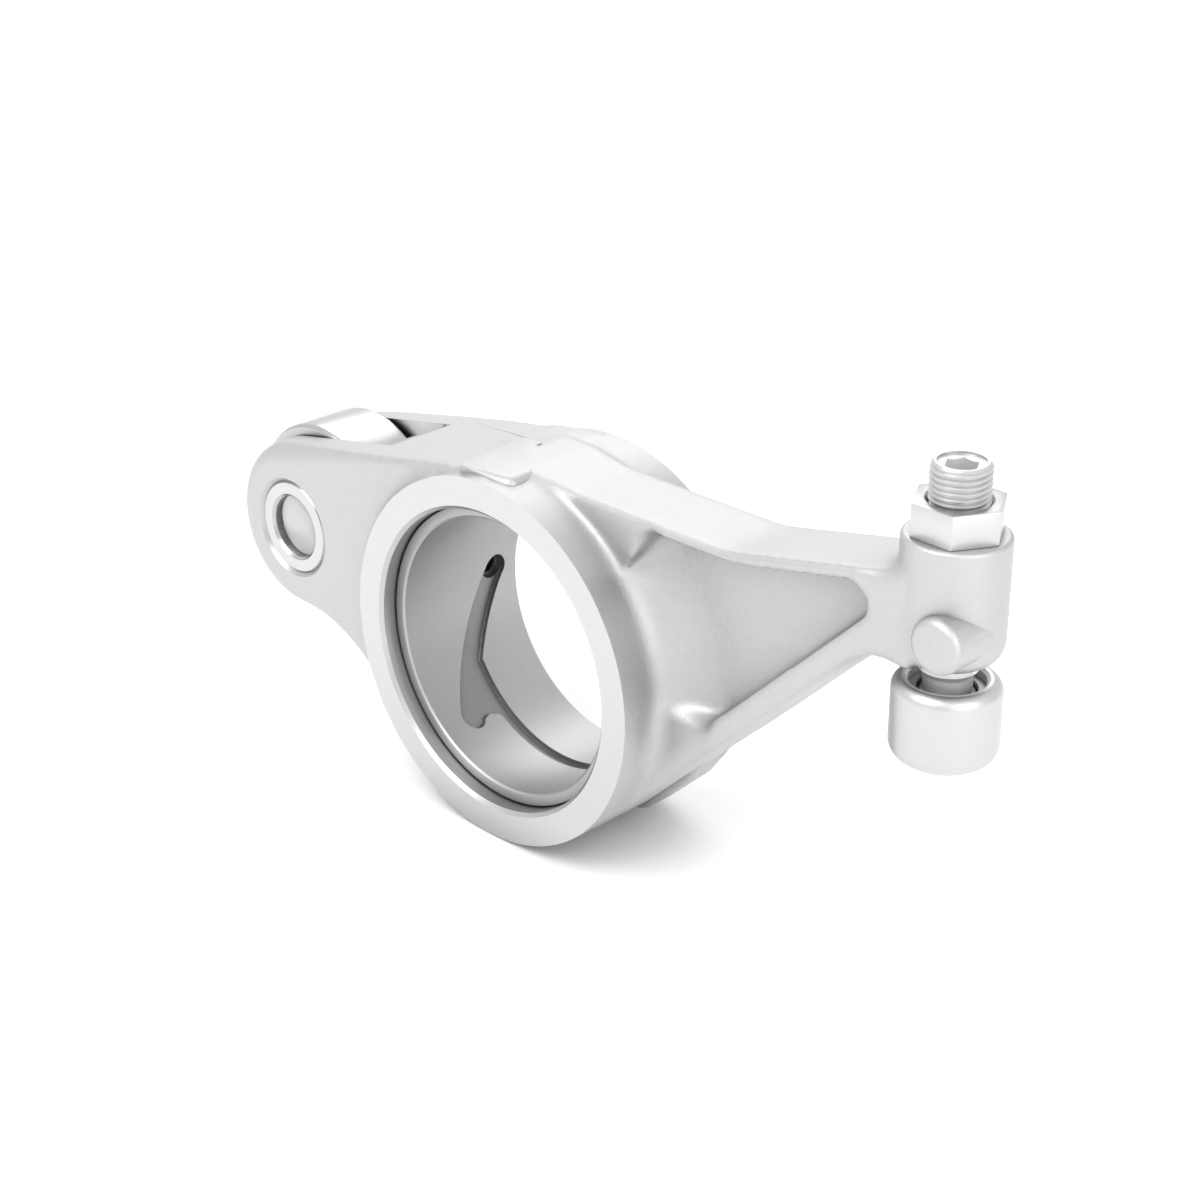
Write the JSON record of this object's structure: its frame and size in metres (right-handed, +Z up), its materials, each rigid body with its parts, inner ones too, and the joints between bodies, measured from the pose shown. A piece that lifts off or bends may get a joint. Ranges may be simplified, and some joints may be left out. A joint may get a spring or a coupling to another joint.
{
  "type": "rocker arm",
  "caption": "Rocker arm that pivots on a bushed shaft bore, with a cam roller between two ears and an adjusting screw, lock nut and swivel foot at the valve end.",
  "frame": {"origin": "middle of the hub's width on the axis of the shaft bore", "axes": "+Y along the shaft bore towards the rear, +X along the arm towards the adjusting screw, +Z up along the adjusting screw"},
  "size_m": [0.179, 0.0338, 0.0975],
  "materials": {
    "forged_steel": "shot-blasted forging with machined faces",
    "bearing_overlay": "plain bearing bush, matt grey running surface",
    "ground_steel": "ground and polished",
    "plug_steel": "pressed, bright",
    "bronze": "bored bronze",
    "screw_steel": "turned, zinc plated",
    "nut_steel": "zinc plated",
    "foot_steel": "turned and hardened",
    "ring_steel": "spring steel"
  },
  "bodies": {
    "arm": {"arm_body": "forged_steel", "shaft_bush": "bearing_overlay", "roller_pin": "ground_steel", "pin_plug_front": "plug_steel", "pin_plug_rear": "plug_steel", "gallery_plug": "plug_steel"},
    "floating_bush": {"roller_bush": "bronze"},
    "roller": {"cam_roller": "ground_steel"},
    "screw": {"adjusting_screw": "screw_steel"},
    "nut": {"lock_nut": "nut_steel"},
    "ring": {"foot_ring": "ring_steel"},
    "foot": {"swivel_foot": "foot_steel"}
  },
  "joints": [
    {"name": "bush_spin", "type": "hinge", "parent": "arm", "child": "floating_bush", "pos_m": [-0.0587, 0, 0.0088], "axis": [0, 1, 0], "continuous": true},
    {"name": "roller_spin", "type": "hinge", "parent": "floating_bush", "child": "roller", "pos_m": [-0.0587, 0, 0.0088], "axis": [0, 1, 0], "continuous": true},
    {"name": "screw_feed", "type": "slide", "parent": "arm", "child": "screw", "axis": [0, 0, 1], "range_m": [-0.004, 0.001]},
    {"name": "nut_turn", "type": "hinge", "parent": "arm", "child": "nut", "pos_m": [0.092, 0, 0.0495], "axis": [0, 0, 1], "range_deg": [0, 360]},
    {"name": "foot_tilt", "type": "hinge", "parent": "screw", "child": "ring", "pos_m": [0.092, 0, 0.0178], "axis": [0, 1, 0], "range_deg": [-8, 8]},
    {"name": "foot_spin", "type": "hinge", "parent": "ring", "child": "foot", "pos_m": [0.092, 0, 0.0178], "axis": [0, 0, 1], "continuous": true}
  ]
}
